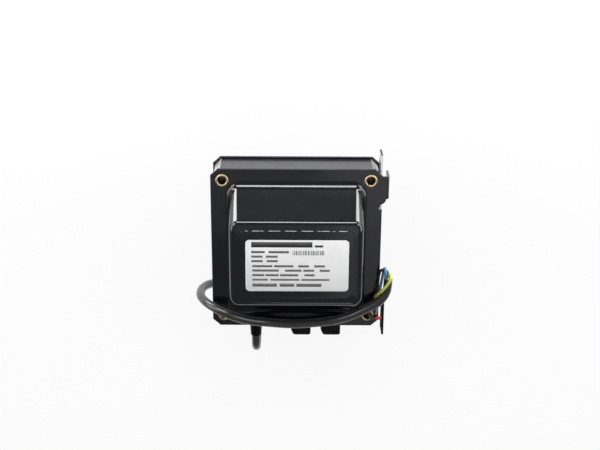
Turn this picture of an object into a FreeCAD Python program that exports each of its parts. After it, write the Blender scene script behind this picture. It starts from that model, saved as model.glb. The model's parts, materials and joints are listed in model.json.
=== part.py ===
import FreeCAD, Part
import math
import os

import Sketcher

# Ignition transformer: a laminated core between two deep-drawn covers, with its outlets on the
# lower side. It lies on the rear cover. X is to the right of the label, Y is towards the top of
# the label and Z is up, out of the label. The origin is the centre of the rear cover's flat face.

DOC = FreeCAD.newDocument("IgnitionTransformer")
Vector = FreeCAD.Vector
NEAR = 1e-4

# Driving dimensions, in millimetres
DIMENSIONS = [
    ("plate_width", 122.8), ("plate_height", 122.0),
    ("chamfer_across", 5.5), ("chamfer_along", 5.0), ("sheet", 1.6),
    ("hole_inset_across", 8.4), ("hole_inset_along", 8.8),
    ("dome_depth", 30.0), ("brow_drop", 0.9),
    ("side_land", 13.2), ("end_land", 12.1), ("root_corner", 11.0),
    ("side_draft", 1.1), ("end_draft", 17.8), ("brow_corner", 9.5),
    ("side_border", 7.3), ("end_border", 6.2), ("panel_corner", 4.0),
    ("brow_fillet", 4.5), ("root_fillet", 5.0),
    ("stack_thickness", 28.8), ("core_inset", 1.9), ("core_chamfer", 4.5),
    ("centre_leg", 26.0), ("outer_leg", 13.0), ("yoke", 15.2), ("block_height", 12.6),
    ("eyelet_bore", 2.95), ("eyelet_wall", 0.75), ("eyelet_flare", 1.0), ("eyelet_head", 0.9),
    ("eyelet_edge", 0.4), ("fit_gap", 0.1),
    ("ear_top", 55.4), ("ear_length", 16.6), ("ear_reach", 2.8), ("ear_radius", 2.0),
    ("ear_return", 15.6), ("ear_lap", 1.0), ("ear_cut", 1.4), ("ear_shoulder", 3.3), ("ear_ramp", 4.5),
    ("notch_centre", 32.5), ("notch_radius", 1.75), ("notch_depth", 2.75),
    ("strap_sheet", 1.4), ("strap_width", 16.0), ("strap_gap", 0.3), ("strap_top", 70.5),
    ("strap_bottom", 69.0), ("strap_joggle", 4.4), ("joggle_start", 37.0), ("joggle_run", 5.0),
    ("rivet_shank", 2.0), ("rivet_depth", 8.0), ("rivet_head", 3.4), ("rivet_head_height", 0.6),
    ("rivet_upper", 26.0), ("rivet_lower", 22.0), ("rivet_edge", 0.4),
    ("outlet_spacing", 22.4), ("outlet_offset", 15.1),
    ("insulator_width", 15.0), ("insulator_corner", 2.4), ("insulator_spout", 11.4),
    ("insulator_taper", 4.0), ("insulator_cut", 1.6), ("insulator_seat", 9.0),
    ("insulator_collar", 17.4), ("collar_height", 2.5), ("socket_radius", 4.25),
    ("socket_depth", 13.6), ("insulator_edge", 0.7), ("contact_radius", 3.7),
    ("contact_head", 3.9), ("contact_head_height", 2.0),
    ("gland_place", 30.0), ("gland_rise", 2.0), ("gland_length", 13.9), ("gland_seat", 9.0),
    ("gland_root", 4.9), ("gland_tip", 3.9), ("gland_collar", 6.2), ("gland_collar_height", 2.0),
    ("gland_edge", 0.7),
    ("coil_spare", 6.3), ("coil_headroom", 9.5), ("coil_corner", 20.0), ("bobbin_wall", 1.2), ("bobbin_gap", 0.3),
    ("cheek", 1.5), ("winding_gap", 0.1), ("winding_inset", 0.8),
    ("primary_length", 29.0), ("shunt_gap", 5.2), ("shunt_clearance", 0.2),
    ("coil_end_gap", 3.0),
    ("label_side", 3.6), ("label_end", 5.6), ("label_corner", 2.8), ("label_sheet", 0.25),
    ("label_across", 0.7), ("label_drop", 0.7),
    ("cord_radius", 3.2), ("wire_radius", 1.05), ("copper_radius", 0.7), ("crimp_radius", 1.6),
    ("crimp_length", 4.2), ("tip_length", 4.4),
]

# Levels and places worked out from the driving dimensions
DERIVED = [
    ("half_width", "plate_width / 2"),
    ("half_height", "plate_height / 2"),
    ("hole_across", "half_width - hole_inset_across"),
    ("hole_along", "half_height - hole_inset_along"),
    ("root_width", "plate_width - 2 * side_land"),
    ("root_height", "plate_height - 2 * end_land"),
    ("brow_width", "root_width - 2 * side_draft"),
    ("brow_height", "root_height - 2 * end_draft"),
    ("panel_width", "brow_width - 2 * side_border"),
    ("panel_height", "brow_height - 2 * end_border"),
    ("label_width", "panel_width - 2 * label_side"),
    ("label_height", "panel_height - 2 * label_end"),
    ("rear_face", "dome_depth"),
    ("stack_bottom", "rear_face + sheet"),
    ("stack_top", "stack_bottom + stack_thickness"),
    ("stack_middle", "stack_bottom + stack_thickness / 2"),
    ("front_face", "stack_top + sheet"),
    ("front_panel", "front_face + dome_depth"),
    ("core_side", "half_width - core_inset"),
    ("core_top", "half_height - core_inset"),
    ("core_bottom", "core_top - block_height"),
    ("window_end", "core_side - yoke"),
    ("leg_centre", "(core_top - core_bottom) / 2"),
    ("window_height", "core_top - outer_leg - leg_centre - centre_leg / 2"),
    ("coil_across", "window_height - coil_spare"),
    ("coil_rise", "dome_depth - coil_headroom"),
    ("eyelet_radius", "eyelet_bore + eyelet_wall"),
    ("eyelet_hole", "eyelet_radius + fit_gap"),
    ("eyelet_rim", "eyelet_radius + eyelet_flare"),
    ("pack_length", "stack_thickness + 2 * sheet"),
    ("strap_face", "core_side + strap_gap"),
    ("strap_outside", "strap_face + strap_sheet"),
    ("strap_level", "stack_top - strap_gap"),
    ("strap_middle", "strap_level - strap_width / 2"),
    ("insulator_top", "core_top - insulator_seat"),
    ("insulator_reach", "core_top + collar_height + insulator_spout"),
    ("contact_face", "insulator_reach - socket_depth"),
    ("contact_back", "contact_face - contact_head_height"),
    ("gland_level", "stack_middle + gland_rise"),
    ("gland_top", "core_top - gland_seat"),
    ("gland_reach", "core_top + gland_collar_height + gland_length"),
]


def make_sheet():
    sheet = DOC.addObject("Spreadsheet::Sheet", "Sizes")
    rows = [(name, str(value)) for name, value in DIMENSIONS]
    rows += [(name, "=" + formula) for name, formula in DERIVED]
    for row, (name, content) in enumerate(rows, start=1):
        sheet.set("A%d" % row, name)
        sheet.set("B%d" % row, content)
        sheet.setAlias("B%d" % row, name)
    DOC.recompute()
    return sheet


SHEET = make_sheet()
ALIASES = sorted((name for name, _ in DIMENSIONS + DERIVED), key=len, reverse=True)


def formula(text):
    """Writes a formula of plain names as one that reads the sheet."""
    words = []
    for word in text.replace("(", " ( ").replace(")", " ) ").split():
        words.append("Sizes." + word if word in ALIASES else word)
    return " ".join(words)


def value(text):
    return float(SHEET.evalExpression(formula(text)))


# Sketch helpers
def sketch_on(body, name, role, level="0"):
    sketch = body.newObject("Sketcher::SketchObject", name)
    plane = next(item for item in body.Origin.OriginFeatures if item.Role == role)
    sketch.AttachmentSupport = [(plane, "")]
    sketch.MapMode = "FlatFace"
    sketch.setExpression("AttachmentOffset.Base.z", formula(level))
    return sketch


def bind(sketch, kind, *where, size):
    index = sketch.addConstraint(Sketcher.Constraint(kind, *where, value(size)))
    sketch.setExpression("Constraints[%d]" % index, formula(size))


def pin_point(sketch, geometry, end, across, along):
    bind(sketch, "DistanceX", -1, 1, geometry, end, size=across)
    bind(sketch, "DistanceY", -1, 1, geometry, end, size=along)


def draw_outline(sketch, corners):
    """A closed outline of straight lines; each corner is a pair of formulas."""
    points = [Vector(value(across), value(along), 0) for across, along in corners]
    count = len(points)
    first = sketch.GeometryCount
    for index in range(count):
        line = Part.LineSegment(points[index], points[(index + 1) % count])
        sketch.addGeometry(line, False)
    for index, (across, along) in enumerate(corners):
        following = first + (index + 1) % count
        sketch.addConstraint(Sketcher.Constraint("Coincident", first + index, 2, following, 1))
        pin_point(sketch, first + index, 1, across, along)


def draw_circle(sketch, across, along, radius):
    centre = Vector(value(across), value(along), 0)
    circle = Part.Circle(centre, Vector(0, 0, 1), value(radius))
    index = sketch.addGeometry(circle, False)
    bind(sketch, "Radius", index, size=radius)
    pin_point(sketch, index, 3, across, along)


def draw_rounded(sketch, width, height, radius, across="0", along="0"):
    """A rectangle with four equal arcs, round the point across, along."""
    left = "%s - (%s) / 2" % (across, width)
    right = "%s + (%s) / 2" % (across, width)
    bottom = "%s - (%s) / 2" % (along, height)
    top = "%s + (%s) / 2" % (along, height)
    x0, x1, y0, y1, r = [value(text) for text in (left, right, bottom, top, radius)]
    lines = [
        (Vector(x0 + r, y0, 0), Vector(x1 - r, y0, 0)), (Vector(x1, y0 + r, 0), Vector(x1, y1 - r, 0)),
        (Vector(x1 - r, y1, 0), Vector(x0 + r, y1, 0)), (Vector(x0, y1 - r, 0), Vector(x0, y0 + r, 0)),
    ]
    centres = [(x1 - r, y0 + r), (x1 - r, y1 - r), (x0 + r, y1 - r), (x0 + r, y0 + r)]
    first = sketch.GeometryCount
    for turn, (start, end) in enumerate(lines):
        sketch.addGeometry(Part.LineSegment(start, end), False)
        centre = Vector(centres[turn][0], centres[turn][1], 0)
        begin = math.radians(90 * turn - 90)
        arc = Part.ArcOfCircle(Part.Circle(centre, Vector(0, 0, 1), r), begin, begin + math.pi / 2)
        sketch.addGeometry(arc, False)
    for step in range(8):
        following = first + (step + 1) % 8
        sketch.addConstraint(Sketcher.Constraint("Tangent", first + step, 2, following, 1))
    for side, kind in enumerate(("Horizontal", "Vertical", "Horizontal", "Vertical")):
        sketch.addConstraint(Sketcher.Constraint(kind, first + 2 * side))
    for turn in (1, 2, 3):
        sketch.addConstraint(Sketcher.Constraint("Equal", first + 1, first + 1 + 2 * turn))
    bind(sketch, "Radius", first + 1, size=radius)
    bind(sketch, "DistanceY", -1, 1, first, 1, size=bottom)
    bind(sketch, "DistanceX", -1, 1, first + 2, 1, size=right)
    bind(sketch, "DistanceY", -1, 1, first + 4, 1, size=top)
    bind(sketch, "DistanceX", -1, 1, first + 6, 1, size=left)


# Feature helpers
def new_body(label):
    body = DOC.addObject("PartDesign::Body", label)
    body.Label = label
    return body


def extrude(body, kind, sketch, length, reverse=False):
    feature = body.newObject("PartDesign::" + kind, sketch.Name + kind)
    feature.Profile = sketch
    feature.setExpression("Length", formula(length))
    feature.Reversed = reverse
    return feature


def turn_round(body, kind, sketch, axis):
    feature = body.newObject("PartDesign::" + kind, sketch.Name + kind)
    feature.Profile = sketch
    feature.ReferenceAxis = (sketch, [axis])
    feature.Angle = 360
    return feature


def loft(body, kind, sketches):
    feature = body.newObject("PartDesign::" + kind, sketches[0].Name + kind)
    feature.Profile = sketches[0]
    feature.Sections = sketches[1:]
    feature.Ruled = True
    return feature


def round_edges(body, base, name, radius, chosen):
    """Rounds the edges of base for which chosen says yes."""
    DOC.recompute()
    names = ["Edge%d" % (n + 1) for n, edge in enumerate(base.Shape.Edges) if chosen(edge)]
    feature = body.newObject("PartDesign::Fillet", name)
    feature.Base = (base, names)
    feature.setExpression("Radius", formula(radius))
    return feature


def place(body, across="0", along="0", level="0", turn=None):
    for axis, size in (("x", across), ("y", along), ("z", level)):
        body.setExpression("Placement.Base." + axis, formula(size))
    if turn is not None:
        body.Placement = FreeCAD.Placement(body.Placement.Base, turn)


def at_level(edge, level):
    return all(abs(point.Z - level) < NEAR for point in edge.Vertexes)


def within(edge, half_width, half_height):
    return all(abs(p.X) < half_width and abs(p.Y) < half_height for p in edge.Vertexes)


# Covers: a flat flange with a deep-drawn dome that rises from it
def plate_corners():
    w, h = "half_width", "half_height"
    a, b = "chamfer_across", "chamfer_along"
    return [
        ("%s - %s" % (w, a), "0 - %s" % h), (w, "%s - %s" % (b, h)), (w, "%s - %s" % (h, b)),
        ("%s - %s" % (w, a), h), ("%s - %s" % (a, w), h), ("0 - %s" % w, "%s - %s" % (h, b)),
        ("0 - %s" % w, "%s - %s" % (b, h)), ("%s - %s" % (a, w), "0 - %s" % h),
    ]


def dome_sketches(body, prefix, inset, lowest):
    """Root, brow and panel outlines, drawn in by inset, the root at the level lowest."""
    rows = [
        ("root", lowest), ("brow", "dome_depth - brow_drop - %s" % inset),
        ("panel", "dome_depth - %s" % inset),
    ]
    sketches = []
    for name, level in rows:
        sketch = sketch_on(body, prefix + name, "XY_Plane", level)
        width = "%s_width - 2 * %s" % (name, inset)
        height = "%s_height - 2 * %s" % (name, inset)
        radius = "%s_corner - %s" % (name, inset)
        draw_rounded(sketch, width, height, radius)
        sketches.append(sketch)
    return sketches


def add_ear(body):
    """A lug of the same sheet, bent back over the core's right side, with a relief notch."""
    flat = sketch_on(body, "EarFlat", "XY_Plane")
    low = "ear_top - ear_length"
    draw_outline(flat, [
        ("half_width - ear_lap", "ear_top"), ("half_width - ear_lap", "%s - ear_ramp" % low),
        ("half_width + ear_reach / 2", "%s - ear_shoulder" % low),
        ("half_width + ear_reach", "%s - ear_cut" % low), ("half_width + ear_reach", "ear_top"),
    ])
    extrude(body, "Pad", flat, "sheet", reverse=True)
    bend = sketch_on(body, "EarBend", "XZ_Plane", "0 - ear_top")
    draw_bend(bend)
    extrude(body, "Pad", bend, "ear_length")
    notch = sketch_on(body, "EarNotch", "XY_Plane")
    draw_circle(notch, "half_width - notch_depth + notch_radius", "notch_centre", "notch_radius")
    extrude(body, "Pocket", notch, "sheet")
    mouth = sketch_on(body, "EarNotchMouth", "XY_Plane")
    draw_outline(mouth, [
        ("half_width - notch_depth + notch_radius", "notch_centre - notch_radius"),
        ("half_width + notch_radius", "notch_centre - notch_radius"),
        ("half_width + notch_radius", "notch_centre + notch_radius"),
        ("half_width - notch_depth + notch_radius", "notch_centre + notch_radius"),
    ])
    extrude(body, "Pocket", mouth, "sheet")


def draw_bend(sketch):
    """The section of the ear's bend and return wall, in the plane across the ear."""
    start = value("half_width + ear_reach")
    outer = value("ear_radius")
    sheet = value("sheet")
    depth = value("ear_return")
    centre = Vector(start, -outer, 0)
    normal = Vector(0, 0, 1)
    right = start + outer
    inner = outer - sheet
    parts = [
        Part.LineSegment(Vector(start, -sheet, 0), Vector(start, 0, 0)),
        Part.ArcOfCircle(Part.Circle(centre, normal, outer), 0, math.pi / 2),
        Part.LineSegment(Vector(right, -outer, 0), Vector(right, -depth, 0)),
        Part.LineSegment(Vector(right, -depth, 0), Vector(right - sheet, -depth, 0)),
        Part.LineSegment(Vector(right - sheet, -depth, 0), Vector(right - sheet, -outer, 0)),
        Part.ArcOfCircle(Part.Circle(centre, normal, inner), 0, math.pi / 2),
    ]
    sketch.addGeometry(parts, False)
    joints = [(0, 2, 1, 2), (1, 1, 2, 1), (2, 2, 3, 1), (3, 2, 4, 1), (4, 2, 5, 1), (5, 2, 0, 1)]
    for first, first_end, second, second_end in joints:
        spot = Sketcher.Constraint("Coincident", first, first_end, second, second_end)
        sketch.addConstraint(spot)
    sketch.addConstraint(Sketcher.Constraint("Vertical", 0))
    sketch.addConstraint(Sketcher.Constraint("Vertical", 2))
    sketch.addConstraint(Sketcher.Constraint("Horizontal", 3))
    sketch.addConstraint(Sketcher.Constraint("Vertical", 4))
    sketch.addConstraint(Sketcher.Constraint("Coincident", 1, 3, 5, 3))
    pin_point(sketch, 0, 2, "half_width + ear_reach", "0")
    bind(sketch, "DistanceY", -1, 1, 0, 1, size="0 - sheet")
    pin_point(sketch, 1, 3, "half_width + ear_reach", "0 - ear_radius")
    bind(sketch, "DistanceY", -1, 1, 2, 1, size="0 - ear_radius")
    bind(sketch, "DistanceY", -1, 1, 4, 2, size="0 - ear_radius")
    bind(sketch, "DistanceY", -1, 1, 2, 2, size="0 - ear_return")


def make_cover(label, with_ear):
    body = new_body(label)
    flange = sketch_on(body, label + "Flange", "XY_Plane")
    draw_outline(flange, plate_corners())
    extrude(body, "Pad", flange, "sheet", reverse=True)
    if with_ear:
        add_ear(body)
    outer = loft(body, "AdditiveLoft", dome_sketches(body, label + "Outer", "0", "0"))
    brow = value("dome_depth - brow_drop")
    root_half = (value("root_width / 2 + fit_gap"), value("root_height / 2 + fit_gap"))
    brow_round = round_edges(body, outer, label + "Brow", "brow_fillet",
                             lambda edge: at_level(edge, brow))
    round_edges(body, brow_round, label + "Root", "root_fillet",
                lambda edge: at_level(edge, 0) and within(edge, *root_half))
    cavity = dome_sketches(body, label + "Inner", "sheet", "0 - sheet")
    hollow = loft(body, "SubtractiveLoft", cavity)
    inner_brow = value("dome_depth - brow_drop - sheet")
    underside = value("0 - sheet")
    hollow_round = round_edges(body, hollow, label + "InnerBrow", "brow_fillet - sheet",
                               lambda edge: at_level(edge, inner_brow))
    round_edges(body, hollow_round, label + "InnerRoot", "root_fillet + sheet",
                lambda edge: at_level(edge, underside) and within(edge, *root_half))
    holes = sketch_on(body, label + "Holes", "XY_Plane")
    for side in ("", "0 - "):
        for end in ("", "0 - "):
            draw_circle(holes, side + "hole_across", end + "hole_along",
                        "eyelet_hole")
    body.Tip = extrude(body, "Pocket", holes, "sheet")
    return body


def make_covers():
    front = make_cover("front_cover", True)
    place(front, level="front_face")
    rear = make_cover("rear_cover", False)
    place(rear, level="rear_face", turn=FreeCAD.Rotation(Vector(1, 0, 0), 180))


# Core: an E stack whose legs lie along X, and the I stack that closes it on the right
def eyelet_places(sketch, side, ends):
    for end in ends:
        draw_circle(sketch, side + "hole_across", end + "hole_along", "eyelet_hole")


def make_core():
    leg_low = "leg_centre - centre_leg / 2"
    leg_high = "leg_centre + centre_leg / 2"
    low_leg = "outer_leg - core_bottom"
    high_leg = "core_top - outer_leg"
    left = "0 - core_side"
    end = "0 - window_end"
    body = new_body("core_e_stack")
    outline = sketch_on(body, "EOutline", "XY_Plane", "stack_bottom")
    draw_outline(outline, [
        (left, "0 - core_bottom"), ("window_end", "0 - core_bottom"), ("window_end", low_leg),
        (end, low_leg), (end, leg_low), ("window_end", leg_low), ("window_end", leg_high),
        (end, leg_high), (end, high_leg), ("window_end", high_leg), ("window_end", "core_top"),
        ("core_chamfer - core_side", "core_top"), (left, "core_top - core_chamfer"),
    ])
    extrude(body, "Pad", outline, "stack_thickness")
    holes = sketch_on(body, "EHoles", "XY_Plane", "stack_bottom")
    eyelet_places(holes, "0 - ", [""])
    extrude(body, "Pocket", holes, "stack_thickness", reverse=True)
    body = new_body("core_i_stack")
    outline = sketch_on(body, "IOutline", "XY_Plane", "stack_bottom")
    draw_outline(outline, [
        ("window_end", "0 - core_bottom"), ("core_side", "0 - core_bottom"),
        ("core_side", "core_top - core_chamfer"), ("core_side - core_chamfer", "core_top"),
        ("window_end", "core_top"),
    ])
    extrude(body, "Pad", outline, "stack_thickness")
    holes = sketch_on(body, "IHoles", "XY_Plane", "stack_bottom")
    eyelet_places(holes, "", [""])
    extrude(body, "Pocket", holes, "stack_thickness", reverse=True)
    rivets = sketch_on(body, "IRivets", "YZ_Plane", "core_side")
    for spot in ("rivet_upper", "0 - rivet_lower"):
        draw_circle(rivets, spot, "strap_middle", "rivet_shank + fit_gap")
    extrude(body, "Pocket", rivets, "rivet_depth + fit_gap")


# Terminal block: the moulding that closes the lower side and carries the outlets
def make_block():
    body = new_body("terminal_block")
    outline = sketch_on(body, "BlockOutline", "XY_Plane", "stack_bottom")
    draw_outline(outline, [
        ("0 - core_side", "0 - core_bottom"), ("0 - core_side", "core_chamfer - core_top"),
        ("core_chamfer - core_side", "0 - core_top"), ("core_side - core_chamfer", "0 - core_top"),
        ("core_side", "core_chamfer - core_top"), ("core_side", "0 - core_bottom"),
    ])
    extrude(body, "Pad", outline, "stack_thickness")
    holes = sketch_on(body, "BlockHoles", "XY_Plane", "stack_bottom")
    for side in ("", "0 - "):
        eyelet_places(holes, side, ["0 - "])
    extrude(body, "Pocket", holes, "stack_thickness", reverse=True)
    seats = sketch_on(body, "BlockSeats", "XZ_Plane", "core_top")
    for across in outlet_places():
        draw_rounded(seats, "insulator_width + 2 * fit_gap", "insulator_width + 2 * fit_gap",
                     "insulator_corner + fit_gap", across, "stack_middle")
    extrude(body, "Pocket", seats, "insulator_seat")
    bore = sketch_on(body, "BlockBore", "XZ_Plane", "core_top")
    draw_circle(bore, "0 - gland_place", "gland_level", "gland_root + fit_gap")
    extrude(body, "Pocket", bore, "gland_seat")


def outlet_places():
    return ["outlet_offset - outlet_spacing / 2", "outlet_offset + outlet_spacing / 2"]


# High-voltage outlets: an insulator with a socket, and a brass contact at the socket's end
def make_insulator(label, across):
    """A squared tower with a collar; its end is drawn in on the left, and the socket is round."""
    body = new_body(label)
    shank = sketch_on(body, "Shank" + label, "XZ_Plane", "insulator_top")
    draw_rounded(shank, "insulator_width", "insulator_width", "insulator_corner")
    extrude(body, "Pad", shank, "insulator_reach - insulator_top - insulator_taper")
    start = sketch_on(body, "TaperStart" + label, "XZ_Plane", "insulator_reach - insulator_taper")
    draw_rounded(start, "insulator_width", "insulator_width", "insulator_corner")
    end = sketch_on(body, "TaperEnd" + label, "XZ_Plane", "insulator_reach")
    draw_rounded(end, "insulator_width - insulator_cut", "insulator_width", "insulator_corner",
                 "insulator_cut / 2")
    taper = loft(body, "AdditiveLoft", [start, end])
    mouth = value("0 - insulator_reach")
    round_edges(body, taper, "Mouth" + label, "insulator_edge",
                lambda edge: all(abs(point.Y - mouth) < NEAR for point in edge.Vertexes))
    collar = sketch_on(body, "Collar" + label, "XZ_Plane", "core_top")
    draw_rounded(collar, "insulator_collar", "insulator_collar", "insulator_corner")
    extrude(body, "Pad", collar, "collar_height")
    steps = [
        ("Socket", "insulator_reach", "socket_radius", "socket_depth"),
        ("Recess", "contact_face", "contact_head + fit_gap", "contact_head_height"),
        ("Bore", "contact_back", "contact_radius + fit_gap", "contact_back - insulator_top"),
    ]
    for name, level, radius, depth in steps:
        hole = sketch_on(body, name + label, "XZ_Plane", level)
        draw_circle(hole, "0", "0", radius)
        extrude(body, "Pocket", hole, depth)
    place(body, across=across, level="stack_middle")


def make_contact(label, across):
    body = new_body(label)
    profile = sketch_on(body, "Profile" + label, "XY_Plane")
    draw_outline(profile, [
        ("0", "0 - insulator_top"), ("contact_radius", "0 - insulator_top"),
        ("contact_radius", "0 - contact_back"), ("contact_head", "0 - contact_back"),
        ("contact_head", "0 - contact_face"), ("0", "0 - contact_face"),
    ])
    turn_round(body, "Revolution", profile, "V_Axis")
    place(body, across=across, level="stack_middle")


def make_outlets():
    for side, across in zip(("left", "right"), outlet_places()):
        make_insulator("hv_insulator_" + side, across)
        make_contact("hv_contact_" + side, across)


# Cable gland: a collar on the block and a ribbed sleeve that tapers down to the cord
def make_gland():
    body = new_body("cable_gland")
    profile = sketch_on(body, "GlandProfile", "XY_Plane")
    draw_outline(profile, [
        ("0", "0 - gland_top"), ("gland_root", "0 - gland_top"), ("gland_root", "0 - core_top"),
        ("gland_collar", "0 - core_top"), ("gland_collar", "0 - core_top - gland_collar_height"),
        ("gland_root", "0 - core_top - gland_collar_height"), ("gland_tip", "0 - gland_reach"),
        ("0", "0 - gland_reach"),
    ])
    sleeve = turn_round(body, "Revolution", profile, "V_Axis")
    collar = value("0 - core_top - gland_collar_height")
    round_edges(body, sleeve, "GlandEdge", "gland_edge",
                lambda edge: abs(edge.BoundBox.YMax - collar) < NEAR
                and edge.BoundBox.XMax > value("gland_root + fit_gap"))
    place(body, across="0 - gland_place", level="gland_level")


# Rivets: brass tubes flared over both flanges
def make_eyelet(label, side, end):
    body = new_body(label)
    profile = sketch_on(body, "Profile" + label, "XZ_Plane")
    bottom = "0 - eyelet_head"
    top = "pack_length + eyelet_head"
    draw_outline(profile, [
        ("eyelet_bore", bottom), ("eyelet_rim", bottom), ("eyelet_rim", "0"), ("eyelet_radius", "0"),
        ("eyelet_radius", "pack_length"), ("eyelet_rim", "pack_length"), ("eyelet_rim", top),
        ("eyelet_bore", top),
    ])
    tube = turn_round(body, "Revolution", profile, "V_Axis")
    ends = (value(bottom), value(top))
    round_edges(body, tube, "Edge" + label, "eyelet_edge",
                lambda edge: edge.Closed and any(at_level(edge, level) for level in ends))
    place(body, across=side + "hole_across", along=end + "hole_along",
          level="rear_face")


def make_eyelets():
    make_eyelet("eyelet_top_left", "0 - ", "")
    make_eyelet("eyelet_top_right", "", "")
    make_eyelet("eyelet_bottom_left", "0 - ", "0 - ")
    make_eyelet("eyelet_bottom_right", "", "0 - ")


# Coils: three bobbins on the centre leg, each with its winding
def make_coil(kind, low, high):
    """A bobbin with two cheeks and the winding between them, from low to high along X."""
    tube_width = "centre_leg + 2 * bobbin_gap"
    tube_height = "stack_thickness + 2 * bobbin_gap"
    middle = "stack_bottom + stack_thickness / 2"
    body = new_body(kind + "_bobbin")
    cheek_width = tube_width + " + 2 * coil_across"
    cheek_height = tube_height + " + 2 * coil_rise"
    for spot, level in (("Low", low), ("High", high + " - cheek")):
        plate = sketch_on(body, kind + spot, "YZ_Plane", level)
        draw_rounded(plate, cheek_width, cheek_height, "coil_corner", "leg_centre", middle)
        if spot == "Low":
            extrude(body, "Pad", plate, "cheek")
            tube = sketch_on(body, kind + "Tube", "YZ_Plane", low)
            draw_rounded(tube, tube_width + " + 2 * bobbin_wall", tube_height + " + 2 * bobbin_wall",
                         "bobbin_wall", "leg_centre", middle)
            extrude(body, "Pad", tube, "%s - (%s)" % (high, low))
        else:
            extrude(body, "Pad", plate, "cheek")
    hole = sketch_on(body, kind + "Hole", "YZ_Plane", low)
    draw_window(hole, tube_width, tube_height, middle)
    extrude(body, "Pocket", hole, "%s - (%s)" % (high, low), reverse=True)
    body = new_body(kind + "_winding")
    inner_width = tube_width + " + 2 * bobbin_wall + 2 * winding_gap"
    inner_height = tube_height + " + 2 * bobbin_wall + 2 * winding_gap"
    wound = sketch_on(body, kind + "Wound", "YZ_Plane", low + " + cheek + winding_gap")
    draw_rounded(wound, cheek_width + " - 2 * winding_inset", cheek_height + " - 2 * winding_inset",
                 "coil_corner - winding_inset", "leg_centre", middle)
    span = "%s - (%s) - 2 * cheek - 2 * winding_gap" % (high, low)
    extrude(body, "Pad", wound, span)
    core = sketch_on(body, kind + "WoundHole", "YZ_Plane", low + " + cheek + winding_gap")
    draw_window(core, inner_width, inner_height, middle)
    extrude(body, "Pocket", core, span, reverse=True)


def draw_window(sketch, width, height, middle):
    left = "leg_centre - (%s) / 2" % width
    right = "leg_centre + (%s) / 2" % width
    bottom = "%s - (%s) / 2" % (middle, height)
    top = "%s + (%s) / 2" % (middle, height)
    draw_outline(sketch, [(left, bottom), (right, bottom), (right, top), (left, top)])


def make_shunt(label, side, low, high):
    """A small stack across a window, between the primary and a secondary."""
    body = new_body(label)
    outline = sketch_on(body, "Shunt" + label, "XY_Plane", "stack_bottom")
    near = side + "(primary_length / 2 + shunt_clearance)"
    far = side + "(primary_length / 2 + shunt_gap - shunt_clearance)"
    draw_outline(outline, [(near, low), (far, low), (far, high), (near, high)])
    extrude(body, "Pad", outline, "stack_thickness")


def make_coils():
    inner = "primary_length / 2"
    make_coil("primary", "0 - " + inner, inner)
    make_coil("secondary_right", inner + " + shunt_gap", "window_end - coil_end_gap")
    make_coil("secondary_left", "coil_end_gap - window_end", "0 - " + inner + " - shunt_gap")
    above = ("leg_centre + centre_leg / 2 + shunt_clearance", "core_top - outer_leg")
    below = ("outer_leg - core_bottom", "leg_centre - centre_leg / 2 - shunt_clearance")
    for name, side in (("left", "0 - "), ("right", "")):
        make_shunt("shunt_upper_" + name, side, *above)
        make_shunt("shunt_lower_" + name, side, *below)


# Side strap: a strip up the right side of the core, joggled out at its lower end
def make_strap():
    body = new_body("side_strap")
    outline = sketch_on(body, "StrapOutline", "XY_Plane", "strap_level")
    lower = "0 - joggle_start - joggle_run"
    draw_outline(outline, [
        ("strap_face", "strap_top"), ("strap_face", "0 - joggle_start"),
        ("strap_face + strap_joggle", lower), ("strap_face + strap_joggle", "0 - strap_bottom"),
        ("strap_outside + strap_joggle", "0 - strap_bottom"),
        ("strap_outside + strap_joggle", lower + " + strap_gap"),
        ("strap_outside", "strap_gap - joggle_start"), ("strap_outside", "strap_top"),
    ])
    extrude(body, "Pad", outline, "strap_width", reverse=True)
    holes = sketch_on(body, "StrapHoles", "YZ_Plane", "strap_outside")
    for spot in ("rivet_upper", "0 - rivet_lower"):
        draw_circle(holes, spot, "strap_middle", "rivet_shank + fit_gap")
    extrude(body, "Pocket", holes, "strap_sheet")


def make_strap_rivet(label, spot):
    """A flat-headed rivet from the strap into the core."""
    body = new_body(label)
    profile = sketch_on(body, "Profile" + label, "XY_Plane")
    draw_outline(profile, [
        ("core_side - rivet_depth", "0"), ("strap_outside + rivet_head_height", "0"),
        ("strap_outside + rivet_head_height", "rivet_head"), ("strap_outside", "rivet_head"),
        ("strap_outside", "rivet_shank"), ("core_side - rivet_depth", "rivet_shank"),
    ])
    turned = turn_round(body, "Revolution", profile, "H_Axis")
    top = value("strap_outside + rivet_head_height")
    round_edges(body, turned, "Edge" + label, "rivet_edge",
                lambda edge: abs(edge.BoundBox.XMin - top) < NEAR)
    place(body, along=spot, level="strap_middle")


# Rating label
def make_label():
    body = new_body("rating_label")
    outline = sketch_on(body, "LabelOutline", "XY_Plane", "front_panel")
    draw_rounded(outline, "label_width", "label_height", "label_corner", "label_across",
                 "0 - label_drop")
    extrude(body, "Pad", outline, "label_sheet")


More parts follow.
